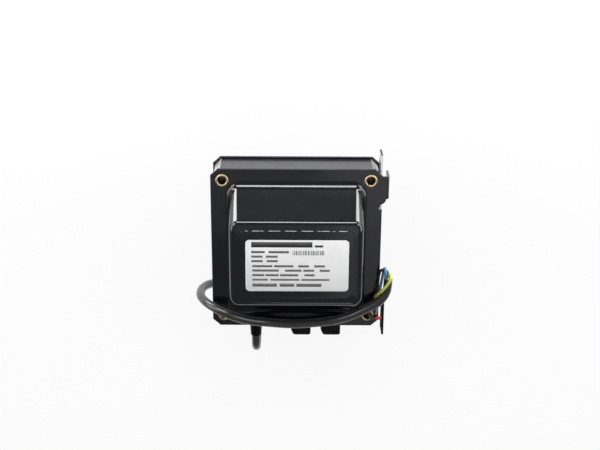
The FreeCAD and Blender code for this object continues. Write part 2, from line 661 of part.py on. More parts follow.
# Cord and conductors: straight runs joined by tangent arcs
CORD_ROUTE = [
    (-30.0, -75.0, 48.0), (-30.0, -79.9, 48.0), (-30.0, -84.4, 46.1), (-30.0, -87.8, 42.7),
    (-30.0, -89.7, 38.2), (-30.0, -90.0, 30.6), (-30.0, -87.2, 18.8), (-30.5, -78.6, 9.2),
    (-34.0, -66.5, 4.1), (-42.0, -55.5, 4.2), (-53.5, -48.6, 9.4), (-65.0, -45.4, 18.4),
    (-70.8, -43.4, 31.0), (-72.0, -41.8, 44.6), (-70.2, -41.0, 57.5), (-62.0, -42.4, 69.4),
    (-48.5, -47.2, 74.2), (-35.6, -53.4, 70.2), (-21.0, -57.0, 65.6), (-4.0, -58.6, 65.3),
    (14.0, -57.4, 65.3), (28.6, -55.2, 66.0), (41.4, -50.2, 67.8), (52.0, -43.6, 69.6),
    (60.8, -38.0, 70.9), (65.8, -30.6, 71.2), (66.8, -24.0, 71.2), (66.8, -19.0, 71.2),
]

BLUE_ROUTE = [
    (68.1, -19.0, 70.88), (68.1, -15.6, 70.88), (67.98, -13.2, 68.48), (67.81, -13.2, 65.08),
    (67.69, -15.6, 62.68), (67.2, -22.4, 62.8), (65.2, -33.2, 63.1), (61.2, -40.8, 63.12),
    (60.0, -46.6, 63.1),
]

EARTH_ROUTE = [
    (66.8, -19.0, 73.0), (66.8, -16.2, 73.0), (67.4, -14.2, 74.8), (68.1, -14.2, 77.2),
    (68.3, -16.4, 78.8), (66.2, -21.8, 77.8), (61.6, -28.0, 75.2), (58.2, -33.9, 69.2),
]

BROWN_ROUTE = [
    (65.5, -19.0, 70.88), (65.5, -15.6, 70.88), (65.38, -13.2, 68.48), (65.21, -13.2, 65.08),
    (65.09, -15.6, 62.68), (64.6, -22.4, 62.8), (62.6, -33.2, 63.2), (58.6, -41.6, 63.3),
    (55.2, -47.6, 64.0), (54.7, -51.6, 64.1), (57.0, -54.4, 64.1), (60.6, -53.8, 64.1),
]


def bend_radius(before, corner, after):
    """The arc at a corner: 0.45 of the shorter run over the tangent of half the turn."""
    arriving = corner - before
    leaving = after - corner
    turn = arriving.getAngle(leaving)
    shorter = min(arriving.Length, leaving.Length)
    return 0.45 * shorter / math.tan(turn / 2)


def route_wire(label, route):
    points = [Vector(*point) for point in route]
    edges = []
    radii = []
    start = points[0]
    for before, corner, after in zip(points, points[1:], points[2:]):
        radius = bend_radius(before, corner, after)
        radii.append(radius)
        back = (before - corner).normalize()
        ahead = (after - corner).normalize()
        half = back.getAngle(ahead) / 2
        reach = radius / math.tan(half)
        first = corner + back * reach
        last = corner + ahead * reach
        bisector = (back + ahead).normalize()
        middle = corner + bisector * (radius / math.sin(half) - radius)
        edges.append(Part.LineSegment(start, first).toShape())
        edges.append(Part.Arc(first, middle, last).toShape())
        start = last
    edges.append(Part.LineSegment(start, points[-1]).toShape())
    wire = Part.Wire(edges)
    print(label, "length %.1f" % wire.Length, "radii", " ".join("%.1f" % r for r in radii))
    return wire


def sweep_round(label, route, radius):
    """A plain round tube along a route, checked against its section times its length."""
    wire = route_wire(label, route)
    start = Vector(*route[0])
    heading = Vector(*route[1]) - start
    ring = Part.Wire([Part.Circle(start, heading, radius).toShape()])
    solid = wire.makePipeShell([ring], True, True)
    expected = math.pi * radius * radius * wire.Length
    print(label, "volume ratio %.5f" % (solid.Volume / expected))
    return solid


def add_shape(label, shape):
    item = DOC.addObject("Part::Feature", label)
    item.Label = label
    item.Shape = shape
    item.Placement = FreeCAD.Placement()
    return item


def end_cylinder(route, radius, length, gap=0.0):
    """A short round piece that carries on from the end of a route."""
    last = Vector(*route[-1])
    heading = (last - Vector(*route[-2])).normalize()
    return Part.makeCylinder(radius, length, last + heading * gap, heading)


def make_cords():
    add_shape("power_cord", sweep_round("power_cord", CORD_ROUTE, value("cord_radius")))
    wires = (("wire_blue", BLUE_ROUTE), ("wire_earth", EARTH_ROUTE), ("wire_brown", BROWN_ROUTE))
    for label, route in wires:
        add_shape(label, sweep_round(label, route, value("wire_radius")))
    add_shape("crimp_brown", end_cylinder(BROWN_ROUTE, value("crimp_radius"), value("crimp_length")))
    add_shape("tip_earth", end_cylinder(EARTH_ROUTE, value("copper_radius"), value("tip_length")))
    add_shape("tip_blue", end_cylinder(BLUE_ROUTE, value("copper_radius"), value("tip_length")))


def check_and_export():
    DOC.recompute()
    faults = []
    for item in DOC.Objects:
        if "Invalid" in item.State or "Error" in item.State:
            faults.append("%s %s" % (item.Name, item.State))
    pieces = []
    for item in DOC.Objects:
        loose = item.TypeId.startswith("Part::") and not item.InList
        if item.TypeId == "PartDesign::Body" or loose:
            pieces.append(item)
    for item in pieces:
        if item.Shape.isNull() or not item.Shape.isValid() or not item.Shape.Solids:
            faults.append("%s has no valid solid" % item.Label)
    if faults:
        raise RuntimeError("; ".join(faults))
    os.makedirs("parts", exist_ok=True)
    for item in pieces:
        item.Shape.exportStep("parts/%s.step" % item.Label)
        print(item.Label, "solids", len(item.Shape.Solids), "volume %.1f" % item.Shape.Volume)


make_covers()
make_core()
make_block()
make_outlets()
make_gland()
make_eyelets()
make_coils()
make_strap()
make_strap_rivet("strap_rivet_upper", "rivet_upper")
make_strap_rivet("strap_rivet_lower", "0 - rivet_lower")
make_label()
make_cords()
check_and_export()
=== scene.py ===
import bmesh
import bpy
import json
import math
from mathutils import Matrix, Vector


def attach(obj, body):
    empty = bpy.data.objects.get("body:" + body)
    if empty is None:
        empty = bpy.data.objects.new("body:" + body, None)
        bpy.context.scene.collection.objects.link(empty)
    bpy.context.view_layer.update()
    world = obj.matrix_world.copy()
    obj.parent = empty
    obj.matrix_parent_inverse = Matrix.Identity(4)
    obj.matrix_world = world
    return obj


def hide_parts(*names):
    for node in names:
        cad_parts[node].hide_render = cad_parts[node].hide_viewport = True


# Ignition transformer, lying on its rear cover. Metres; X to the right of the label, Y towards its
# top and Z up out of it.
MM = 0.001
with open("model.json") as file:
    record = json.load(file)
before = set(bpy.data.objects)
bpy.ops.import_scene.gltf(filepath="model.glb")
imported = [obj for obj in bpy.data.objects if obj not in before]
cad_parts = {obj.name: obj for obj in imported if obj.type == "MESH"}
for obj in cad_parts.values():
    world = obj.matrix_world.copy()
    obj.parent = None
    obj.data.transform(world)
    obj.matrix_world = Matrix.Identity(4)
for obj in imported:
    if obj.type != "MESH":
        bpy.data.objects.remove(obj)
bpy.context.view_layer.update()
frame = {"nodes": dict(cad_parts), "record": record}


# Camera: the photograph looks down on the front cover, tilted towards the label's top
CAMERA = {
    "place": (-0.002426, 0.296001, 0.813872), "right": (0.99997, 0.00660, 0.00439),
    "back": (-0.00640, 0.34592, 0.93824), "sensor": 36.0, "lens": 66.74, "reach": 20.0,
}


def make_camera():
    data = bpy.data.cameras.new("photo_camera")
    data.sensor_width = CAMERA["sensor"]
    data.lens = CAMERA["lens"]
    data.clip_end = CAMERA["reach"]
    camera = bpy.data.objects.new("photo_camera", data)
    bpy.context.scene.collection.objects.link(camera)
    right = Vector(CAMERA["right"]).normalized()
    back = Vector(CAMERA["back"]).normalized()
    up = back.cross(right).normalized()
    turn = Matrix((right, up, back)).transposed()
    camera.matrix_world = Matrix.Translation(CAMERA["place"]) @ turn.to_4x4()
    bpy.context.scene.camera = camera


# Material helpers
class Finish:
    """A procedural material on one shader, with nodes added in object space."""

    def __init__(self, name, colour, roughness=0.4, metallic=0.0):
        self.material = bpy.data.materials.new(name)
        self.material.use_nodes = True
        self.nodes = self.material.node_tree.nodes
        self.links = self.material.node_tree.links
        self.shader = self.nodes["Principled BSDF"]
        self.put("Base Color", (*colour, 1.0))
        self.put("Roughness", roughness)
        self.put("Metallic", metallic)
        self.coordinates = self.nodes.new("ShaderNodeTexCoord")
        self.place = self.coordinates.outputs["Object"]
        self.normal = None

    def put(self, socket, amount):
        self.shader.inputs[socket].default_value = amount

    def noise(self, scale, detail=3.0, rough=0.55, stretch=None):
        node = self.nodes.new("ShaderNodeTexNoise")
        node.inputs["Scale"].default_value = scale
        node.inputs["Detail"].default_value = detail
        node.inputs["Roughness"].default_value = rough
        self.links.new(self.stretched(stretch), node.inputs["Vector"])
        return node.outputs["Fac"]

    def stretched(self, stretch):
        if stretch is None:
            return self.place
        node = self.nodes.new("ShaderNodeMapping")
        node.inputs["Scale"].default_value = stretch
        self.links.new(self.place, node.inputs["Vector"])
        return node.outputs["Vector"]

    def lines(self, scale, direction, distortion=0.0):
        node = self.nodes.new("ShaderNodeTexWave")
        node.wave_type = "BANDS"
        node.bands_direction = direction
        node.inputs["Scale"].default_value = scale
        node.inputs["Distortion"].default_value = distortion
        self.links.new(self.place, node.inputs["Vector"])
        return node.outputs["Fac"]

    def axes(self):
        split = self.nodes.new("ShaderNodeSeparateXYZ")
        self.links.new(self.place, split.inputs[0])
        return split.outputs

    def span(self, source, low, high):
        """0 to 1 as an amount goes from low to high."""
        scale = self.nodes.new("ShaderNodeMapRange")
        scale.inputs["From Min"].default_value = low
        scale.inputs["From Max"].default_value = high
        self.links.new(source, scale.inputs["Value"])
        return scale.outputs["Result"]

    def across(self, axis, low, high):
        """0 to 1 between two places on an object axis, in metres."""
        return self.span(self.axes()[axis], low, high)

    def corner_facets(self, low, high):
        """1 on the facets that cut the two upper corners, where |X| + Y is greatest."""
        axes = self.axes()
        side = self.maths("ABSOLUTE", axes["X"])
        return self.span(self.maths("ADD", side, axes["Y"]), low, high)

    def maths(self, operation, *sources):
        node = self.nodes.new("ShaderNodeMath")
        node.operation = operation
        for socket, source in zip(node.inputs, sources):
            self.links.new(source, socket)
        return node.outputs[0]

    def blend(self, share, first, second):
        """Base colour: the first where the share is 0, and the second where it is 1."""
        node = self.nodes.new("ShaderNodeMix")
        node.data_type = "RGBA"
        self.links.new(share, node.inputs[0])
        self.links.new(first, node.inputs[6])
        self.links.new(second, node.inputs[7])
        self.links.new(node.outputs[2], self.shader.inputs["Base Color"])

    def around(self):
        """0 to 1 round a cord's section."""
        split = self.nodes.new("ShaderNodeSeparateXYZ")
        self.links.new(self.coordinates.outputs["UV"], split.inputs[0])
        return split.outputs["Y"]

    def ramp(self, source, stops):
        """Colours or plain amounts along a 0 to 1 input."""
        node = self.nodes.new("ShaderNodeValToRGB")
        while len(node.color_ramp.elements) < len(stops):
            node.color_ramp.elements.new(0.5)
        for element, (place, colour) in zip(node.color_ramp.elements, stops):
            element.position = place
            shade = colour if isinstance(colour, tuple) else (colour, colour, colour)
            element.color = (*shade, 1.0)
        self.links.new(source, node.inputs["Fac"])
        return node.outputs["Color"]

    def colour(self, source, stops):
        self.links.new(self.ramp(source, stops), self.shader.inputs["Base Color"])

    def roughness(self, source, stops):
        self.links.new(self.ramp(source, stops), self.shader.inputs["Roughness"])

    def bump(self, height, distance, strength=1.0):
        node = self.nodes.new("ShaderNodeBump")
        node.inputs["Distance"].default_value = distance
        node.inputs["Strength"].default_value = strength
        self.links.new(height, node.inputs["Height"])
        if self.normal is not None:
            self.links.new(self.normal, node.inputs["Normal"])
        self.normal = node.outputs["Normal"]
        self.links.new(self.normal, self.shader.inputs["Normal"])


def cover_paint():
    """Gloss blue-black enamel with faint orange peel over slightly wavy pressed sheet."""
    paint = Finish("cover_paint", (0.010, 0.011, 0.013), 0.16)
    paint.put("IOR", 1.75)
    paint.colour(paint.noise(90, 5), [(0.3, (0.0042, 0.0048, 0.0066)),
                                      (0.7, (0.0062, 0.0070, 0.0092))])
    paint.roughness(paint.noise(45, 4), [(0.3, 0.08), (0.75, 0.16)])
    paint.bump(paint.noise(30, 1), 0.00020)
    paint.bump(paint.noise(420, 2), 0.000010)
    return paint.material


# |X| + Y on the core, in metres, from which its two upper corner facets are painted light grey, a painted reflection of the bright surroundings
CORE_FACETS = (0.1137, 0.1140)


def core_lacquer():
    """Thick lacquer over the edges of the stacked laminations; the corner facets are painted light grey, a
    painted reflection.
    """
    coat = Finish("core_lacquer", (0.02, 0.021, 0.023), 0.22)
    reflecting_facets = coat.corner_facets(*CORE_FACETS)
    skin = coat.ramp(coat.noise(90, 4, stretch=(0.12, 0.12, 9)),
                     [(0.3, (0.014, 0.0145, 0.017)), (0.7, (0.026, 0.027, 0.031))])
    # Painted reflection: a light grey base colour on the two corner facets stands in for the bright
    # surroundings that they mirror
    painted_reflection = coat.ramp(coat.noise(200, 5), [(0.3, (0.27, 0.26, 0.25)), (0.7, (0.42, 0.42, 0.43))])
    coat.blend(reflecting_facets, skin, painted_reflection)
    coat.roughness(coat.noise(60, 3), [(0.3, 0.2), (0.7, 0.28)])
    coat.bump(coat.lines(320, "Z"), 0.000010)
    coat.bump(coat.noise(20, 1), 0.00004)
    return coat.material


def moulding(name, light, rough, gloss=0.5):
    """Black moulded plastic with a fine skin."""
    plastic = Finish(name, (light, light, light), rough)
    plastic.put("Specular IOR Level", gloss)
    plastic.colour(plastic.noise(140, 4), [(0.3, light * 0.75), (0.7, light * 1.4)])
    plastic.roughness(plastic.noise(70, 4), [(0.3, rough * 0.8), (0.7, rough * 1.35)])
    plastic.bump(plastic.noise(700, 3), 0.00002)
    return plastic.material


def rubber(name, light, rough, bloom, gloss=0.5):
    """Satin rubber with a grainy skin and a light bloom."""
    skin = Finish(name, (light, light, light), rough)
    skin.put("Specular IOR Level", gloss)
    skin.put("Sheen Weight", bloom)
    skin.put("Sheen Roughness", 0.4)
    skin.colour(skin.noise(70, 4), [(0.3, light * 0.88), (0.7, light * 1.2)])
    skin.roughness(skin.noise(60, 3), [(0.3, rough * 0.9), (0.7, rough * 1.12)])
    skin.bump(skin.noise(900, 3), 0.000006)
    return skin.material


def brass(name, low, high, rough):
    metal = Finish(name, low, rough, 1.0)
    metal.colour(metal.noise(420, 6), [(0.3, low), (0.72, high)])
    metal.roughness(metal.noise(300, 4), [(0.3, rough * 0.8), (0.7, rough * 1.4)])
    metal.bump(metal.noise(900, 4), 0.00003)
    return metal.material


INSULATION_ROUGH = 0.34


def wire_skin(name, colour):
    """Soft wire insulation, before its colours."""
    cover = Finish(name, colour, INSULATION_ROUGH)
    cover.roughness(cover.noise(150, 4), [(0.3, INSULATION_ROUGH * 0.85), (0.7, INSULATION_ROUGH * 1.3)])
    cover.bump(cover.noise(1400, 3), 0.00002)
    return cover


def insulation(name, low, high):
    """Insulation of one colour with a little dirt."""
    cover = wire_skin(name, low)
    cover.colour(cover.noise(260, 5), [(0.3, low), (0.65, high)])
    return cover.material


def striped(name, ground, stripe):
    """Two-coloured insulation: a stripe runs along the wire on two sides."""
    cover = wire_skin(name, ground)
    cover.colour(cover.around(), [(0.0, stripe), (0.09, stripe), (0.11, ground), (0.50, ground),
                                  (0.52, stripe), (0.59, stripe), (0.61, ground)])
    return cover.material


def windings():
    """Layers of varnished wire, wound round the leg along X."""
    wire = Finish("winding", (0.3, 0.11, 0.04), 0.3)
    wire.put("Coat Weight", 0.5)
    wire.colour(wire.noise(120, 5), [(0.3, (0.2, 0.07, 0.025)), (0.7, (0.42, 0.17, 0.06))])
    wire.bump(wire.lines(700, "X", 0.4), 0.00008)
    return wire.material


def label_film():
    film = Finish("label", (0.86, 0.86, 0.855), 0.42)
    film.colour(film.noise(70, 4), [(0.3, (0.82, 0.825, 0.83)), (0.7, (0.89, 0.89, 0.88))])
    film.roughness(film.noise(110, 4), [(0.3, 0.36), (0.7, 0.52)])
    film.bump(film.noise(1200, 4), 0.000006)
    return film.material


def label_ink(name, light):
    ink = Finish(name, (light, light, light), 0.5)
    ink.colour(ink.noise(900, 5), [(0.3, light * 0.8), (0.75, light * 1.8)])
    return ink.material


# Places on the side strap, in metres: its inner face, its upper end that takes a painted highlight, its
# front edge, the upper half of that edge, and the run over which its lower leg turns dull
STRAP_INNER = (0.06005, 0.05975)
STRAP_END = (0.0630, 0.0645)
STRAP_FRONT = (0.06004, 0.06008)
STRAP_UPPER = (0.0, 0.001)
STRAP_LEG = (-0.055, -0.030)


def strap_paint():
    """Black strip; its upper end's inner face and the upper half of its front edge are painted light grey,
    a painted highlight.
    """
    strip = Finish("strap_steel", (0.015, 0.015, 0.016), 0.24)
    strip.put("Specular IOR Level", 0.1)
    end = strip.maths("MULTIPLY", strip.across("X", *STRAP_INNER), strip.across("Y", *STRAP_END))
    edge = strip.maths("MULTIPLY", strip.across("Z", *STRAP_FRONT), strip.across("Y", *STRAP_UPPER))
    paint = strip.ramp(strip.noise(140, 4), [(0.3, (0.006, 0.006, 0.007)), (0.7, (0.012, 0.012, 0.014))])
    # Painted highlight: a light grey base colour on the upper end's inner face and the upper front edge
    # stands in for the reflection that they catch
    painted_reflection = strip.ramp(strip.noise(300, 4), [(0.3, (0.62, 0.63, 0.65)), (0.7, (0.82, 0.83, 0.84))])
    strip.blend(strip.maths("MAXIMUM", end, edge), paint, painted_reflection)
    strip.roughness(strip.across("Y", *STRAP_LEG), [(0.0, 0.95), (1.0, 0.4)])
    strip.bump(strip.noise(60, 3), 0.0001)
    return strip.material


# The finish of each slot, and of the eyelets' bores and the label's print
LOOKS = {
    "cover_paint": cover_paint(),
    "core_lacquer": core_lacquer(),
    "block_moulding": moulding("block_moulding", 0.006, 0.26),
    "insulator": moulding("insulator", 0.003, 0.22, 0.32),
    "contact_brass": brass("contact_brass", (0.52, 0.37, 0.15), (0.72, 0.56, 0.28), 0.3),
    "gland_rubber": rubber("gland_rubber", 0.003, 0.36, 0.0, 0.14),
    "eyelet_brass": brass("eyelet_brass", (0.56, 0.42, 0.2), (0.86, 0.72, 0.44), 0.34),
    "eyelet_bore": brass("eyelet_bore", (0.035, 0.032, 0.014), (0.07, 0.06, 0.025), 0.5),
    "bobbin": insulation("bobbin", (0.5, 0.45, 0.36), (0.6, 0.55, 0.45)),
    "winding": windings(),
    "strap_steel": strap_paint(),
    "rivet_steel": moulding("rivet_steel", 0.02, 0.3),
    "label": label_film(),
    "label_ink": label_ink("label_ink", 0.035),
    "label_print": label_ink("label_print", 0.12),
    "cord_jacket": rubber("cord_jacket", 0.022, 0.3, 0.2, 1.0),
    "wire_blue": insulation("wire_blue", (0.07, 0.2, 0.42), (0.14, 0.32, 0.55)),
    "wire_earth": striped("wire_earth", (0.68, 0.76, 0.12), (0.1, 0.34, 0.05)),
    "wire_brown": insulation("wire_brown", (0.035, 0.016, 0.011), (0.06, 0.028, 0.018)),
    "crimp_sleeve": insulation("crimp_sleeve", (0.34, 0.02, 0.018), (0.52, 0.06, 0.05)),
    "copper": brass("copper", (0.66, 0.32, 0.16), (0.85, 0.5, 0.3), 0.3),
}


def dress_nodes():
    """Every node of the frame takes the finish of its own slot."""
    for part in frame["record"]["subparts"]:
        node = frame["nodes"][part["node"]]
        node.data.materials.clear()
        node.data.materials.append(LOOKS[part["material_slot"]])


# Mesh helpers
SHARP = math.radians(40)
MERGE = 1e-7
LATHE_STEPS = 48


def add_object(name, mesh, slot, *nodes):
    """A piece with a slot's finish that rides on the body and stands for the nodes."""
    piece = bpy.data.objects.new(name, mesh)
    bpy.context.scene.collection.objects.link(piece)
    if not piece.data.materials:
        piece.data.materials.append(LOOKS[slot])
    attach(piece, "root")
    if nodes:
        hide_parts(*nodes)
    return piece


def smooth(mesh):
    for face in mesh.polygons:
        face.use_smooth = True


def even_normals(piece):
    modifier = piece.modifiers.new("normals", "WEIGHTED_NORMAL")
    modifier.keep_sharp = True


def ring(bm, points, matrix):
    return [bm.verts.new(matrix @ (Vector(point) * MM)) for point in points]


def finished(bm, name):
    """The mesh, smooth but for its sharp edges."""
    bmesh.ops.remove_doubles(bm, verts=bm.verts, dist=MERGE)
    bmesh.ops.recalc_face_normals(bm, faces=bm.faces)
    for edge in bm.edges:
        edge.smooth = len(edge.link_faces) == 2 and edge.calc_face_angle() < SHARP
    mesh = bpy.data.meshes.new(name)
    bm.to_mesh(mesh)
    bm.free()
    smooth(mesh)
    return mesh


def lathe(bm, profile, matrix, steps=LATHE_STEPS):
    """A closed profile of (radius, level), turned round its own axis."""
    rings = []
    for step in range(steps):
        angle = math.tau * step / steps
        points = [(radius * math.cos(angle), radius * math.sin(angle), level) for radius, level in profile]
        rings.append(ring(bm, points, matrix))
    for first, after in zip(rings, rings[1:] + rings[:1]):
        bridge(bm, first, after)


def bridge(bm, lower, upper):
    count = len(lower)
    for step in range(count):
        after = (step + 1) % count
        bm.faces.new((lower[step], lower[after], upper[after], upper[step]))


# Covers: a flat flange with a deep-drawn dome, rounded where the sheet was drawn over the die
FLANGE = {"half_x": 61.4, "half_y": 61.0, "cut_x": 5.5, "cut_y": 5.0, "sheet": 1.6, "edge": 0.7}
HOLE = {"x": 53.0, "y": 52.2, "radius": 3.8}
HOLE_STEPS = 48
# Each level: half width, half height, corner radius, rise at the sides and rise at the ends
ROOT = (48.2, 48.9, 6.5, 0.0, 0.0)
BROW = (47.1, 31.1, 6.8, 29.1, 29.1)
LIP = (40.3, 25.4, 4.4, 29.92, 29.62)
PANEL = (39.8, 24.9, 4.0, 30.0, 30.0)
# Fillets at the sides, the upper end and the lower end, and how the corners change across them
ROOT_ROUND = (2.6, 8.5, 5.0)
ROOT_FLARE = 4.5
BROW_ROUND = (4.5, 4.6, 4.5)
BROW_FLARE = 2.0
LIP_ROUND = 0.4
PANEL_ROUND = 0.5
# Length of the flat run beyond the root and of the one inside the panel's edge
OUTER_RUN = 12.0
INNER_RUN = 6.0
# The pressed lip waves a little in level: its height, its two rates along X and the second's start
LIP_WAVE = 0.05
LIP_RATES = (0.83, 0.31)
LIP_START = 1.2
ARC_STEPS = 10
LIP_STEPS = 2
PANEL_STEPS = 4
CORNER_STEPS = 14
RUN_STEPS = 64


def fillet(before, corner, after, radius, steps):
    """Points (across, level) along an arc of that radius where two lines meet."""
    before, corner, after = Vector(before), Vector(corner), Vector(after)
    back = (before - corner).normalized()
    ahead = (after - corner).normalized()
    half = back.angle(ahead) / 2
    reach = radius / math.tan(half)
    centre = corner + (back + ahead).normalized() * (radius / math.sin(half))
    first = corner + back * reach - centre
    last = corner + ahead * reach - centre
    sweep = first.angle(last)
    points = []
    for step in range(steps + 1):
        share = step / steps
        blend = first * math.sin((1 - share) * sweep) + last * math.sin(share * sweep)
        points.append(centre + blend / math.sin(sweep))
    return points


def dome_section(axis, rounding):
    """The dome's section along one axis, from the flange up to the flat panel."""
    outside = (ROOT[axis] + OUTER_RUN, 0.0)
    root, brow, lip, panel = [(level[axis], level[3 + axis]) for level in (ROOT, BROW, LIP, PANEL)]
    inside = (panel[0] - INNER_RUN, panel[1])
    section = fillet(outside, root, brow, ROOT_ROUND[rounding], ARC_STEPS)
    section += fillet(root, brow, lip, BROW_ROUND[rounding], ARC_STEPS)
    section += fillet(brow, lip, panel, LIP_ROUND, LIP_STEPS)
    section += fillet(lip, panel, inside, PANEL_ROUND, PANEL_STEPS)
    return section


def dome_rings():
    """For each ring: its places at the sides, the upper and the lower end, its corner and its wave."""
    side, upper, lower = dome_section(0, 0), dome_section(1, 1), dome_section(1, 2)
    outer, inner = upper[0][0], upper[ARC_STEPS][0]
    corners = [ROOT[2] + ROOT_FLARE * (spot[0] - inner) / (outer - inner) for spot in upper[:ARC_STEPS + 1]]
    corners += [BROW[2] - BROW_FLARE * step / ARC_STEPS for step in range(ARC_STEPS + 1)]
    waves = [0.0] * len(corners) + [LIP_WAVE] * (LIP_STEPS + 1) + [0.0] * (PANEL_STEPS + 1)
    corners += [LIP[2]] * (LIP_STEPS + 1) + [PANEL[2]] * (PANEL_STEPS + 1)
    return list(zip(side, upper, lower, corners, waves))


def ring_points(across, along, corner, low=None):
    """One rounded rectangle; its level runs from the side's to the end's round each corner."""
    points = []
    for quarter in range(4):
        end = along if quarter < 2 or low is None else low
        for step in range(CORNER_STEPS + 1):
            angle = math.radians(90 * quarter + 90 * step / CORNER_STEPS)
            sign_x = 1 if quarter in (0, 3) else -1
            sign_y = 1 if quarter in (0, 1) else -1
            x = sign_x * (across[0] - corner) + corner * math.cos(angle)
            y = sign_y * (end[0] - corner) + corner * math.sin(angle)
            level = across[1] * math.cos(angle) ** 2 + end[1] * math.sin(angle) ** 2
            points.append((x, y, level))
    return points


def with_runs(points, wave):
    """The ring with points along its straight runs, waved a little in level where it is a lip."""
    full = []
    corner = CORNER_STEPS + 1
    for quarter in range(4):
        full += points[quarter * corner:(quarter + 1) * corner]
        start = Vector(full[-1])
        end = Vector(points[(quarter + 1) * corner % len(points)])
        for step in range(1, RUN_STEPS):
            spot = start.lerp(end, step / RUN_STEPS)
            ripple = math.sin(spot.x * LIP_RATES[0]) * math.sin(spot.x * LIP_RATES[1] + LIP_START)
            full.append((spot.x, spot.y, spot.z + wave * ripple))
    return full


def dome_mesh(bm, matrix):
    rings = []
    for across, along, low, corner, wave in dome_rings():
        rings.append(ring(bm, with_runs(ring_points(across, along, corner, low), wave), matrix))
    for lower, upper in zip(rings, rings[1:]):
        bridge(bm, lower, upper)
    bm.faces.new(rings[-1])


# The ear: a lug on the right edge, bent down over the core's side, with a notch below it
EAR = {"edge": 64.2, "low": 38.8, "high": 55.4, "radius": 2.0, "depth": 15.6, "lap": 3.6, "proud": 0.01}
EAR_STEPS = 8
EAR_SHOULDER = [(60.4, 34.25), (61.8, 34.9), (62.8, 35.5), (63.7, 36.6), (64.2, 37.8)]
NOTCH = {"x": 60.4, "y": 32.5, "radius": 1.75}
NOTCH_STEPS = 9


def ear_outline(edge):
    """From the flange's edge round the notch, up the shoulder and back to the edge."""
    low = NOTCH["y"] - NOTCH["radius"]
    outline = [(edge, low), (NOTCH["x"], low)]
    for step in range(1, NOTCH_STEPS):
        angle = math.radians(270 - 180 * step / NOTCH_STEPS)
        across = NOTCH["x"] + NOTCH["radius"] * math.cos(angle)
        outline.append((across, NOTCH["y"] + NOTCH["radius"] * math.sin(angle)))
    return outline + EAR_SHOULDER + [(EAR["edge"], EAR["high"]), (edge, EAR["high"])]


def flange_outline(with_ear):
    x, y = FLANGE["half_x"], FLANGE["half_y"]
    a, b = FLANGE["cut_x"], FLANGE["cut_y"]
    outline = [(x, b - y)]
    if with_ear:
        outline += ear_outline(x)
    outline += [(x, y - b), (x - a, y), (a - x, y), (-x, y - b), (-x, b - y), (a - x, -y), (x - a, -y)]
    return outline


def circle(across, along, radius):
    points = []
    for step in range(HOLE_STEPS):
        angle = math.tau * step / HOLE_STEPS
        points.append((across + radius * math.cos(angle), along + radius * math.sin(angle)))
    return points


def spline_loop(curve, points):
    spline = curve.splines.new("POLY")
    spline.points.add(len(points) - 1)
    for point, (x, y) in zip(spline.points, points):
        point.co = (x * MM, y * MM, 0, 1)
    spline.use_cyclic_u = True


def flange_mesh(bm, matrix, with_ear):
    """The flange's plate, with the rivets' holes and softened edges."""
    curve = bpy.data.curves.new("flange", "CURVE")
    curve.dimensions = "2D"
    curve.fill_mode = "BOTH"
    curve.extrude = (FLANGE["sheet"] / 2 - FLANGE["edge"]) * MM
    curve.bevel_depth = FLANGE["edge"] * MM
    curve.bevel_resolution = 3
    curve.offset = -FLANGE["edge"] * MM
    spline_loop(curve, flange_outline(with_ear))
    for side in (-1, 1):
        for end in (-1, 1):
            spline_loop(curve, circle(side * HOLE["x"], end * HOLE["y"], HOLE["radius"]))
    holder = bpy.data.objects.new("flange", curve)
    bpy.context.scene.collection.objects.link(holder)
    bpy.context.view_layer.update()
    mesh = bpy.data.meshes.new_from_object(holder)
    bpy.data.objects.remove(holder)
    drop = Matrix.Translation((0, 0, -FLANGE["sheet"] / 2 * MM))
    mesh.transform(matrix @ drop)
    bm.from_mesh(mesh)


def ear_section():
    """The bent sheet's two faces, as (across, level) from the flange round and down."""
    sheet, radius, start = FLANGE["sheet"], EAR["radius"], EAR["edge"]
    outer = [(start - EAR["lap"], EAR["proud"])]
    inner = [(start - EAR["lap"], -sheet)]
    for step in range(EAR_STEPS + 1):
        angle = math.radians(90 - 90 * step / EAR_STEPS)
        across, rise = math.cos(angle), math.sin(angle)
        outer.append((start + radius * across, EAR["proud"] - radius + radius * rise))
        inner.append((start + (radius - sheet) * across, -radius + (radius - sheet) * rise))
    outer.append((start + radius, -EAR["depth"]))
    inner.append((start + radius - sheet, -EAR["depth"]))
    return outer, inner


def ear_mesh(bm, matrix):
    """The lug that is bent down over the core's side."""
    outer, inner = ear_section()
    section = outer + inner[::-1]
    sides = []
    for y in (EAR["low"], EAR["high"]):
        sides.append([bm.verts.new(matrix @ (Vector((x, y, z)) * MM)) for x, z in section])
    count = len(section)
    for step in range(count):
        after = (step + 1) % count
        bm.faces.new((sides[0][step], sides[1][step], sides[1][after], sides[0][after]))
    for side, verts in enumerate(sides):
        for step in range(len(outer) - 1):
            quad = [verts[step], verts[step + 1], verts[count - 2 - step], verts[count - 1 - step]]
            bm.faces.new(quad if side == 0 else quad[::-1])


def make_cover(name, node, with_ear, matrix):
    bm = bmesh.new()
    dome_mesh(bm, matrix)
    flange_mesh(bm, matrix, with_ear)
    if with_ear:
        ear_mesh(bm, matrix)
    piece = add_object(name, finished(bm, name), "cover_paint", node)
    even_normals(piece)


COVER = {"front": 62.0, "rear": 30.0}


def make_covers():
    lift = Matrix.Translation((0, 0, COVER["front"] * MM))
    make_cover("front_cover_shell", "front_cover", True, lift)
    turned = Matrix.Translation((0, 0, COVER["rear"] * MM)) @ Matrix.Rotation(math.pi, 4, "X")
    make_cover("rear_cover_shell", "rear_cover", False, turned)


# Eyelets: tube rivets whose ends are curled over both covers
EYELET = {"bore": 2.95, "tube": 3.7, "rim": 4.7, "rolled": 0.5}
CURL_STEPS = 10


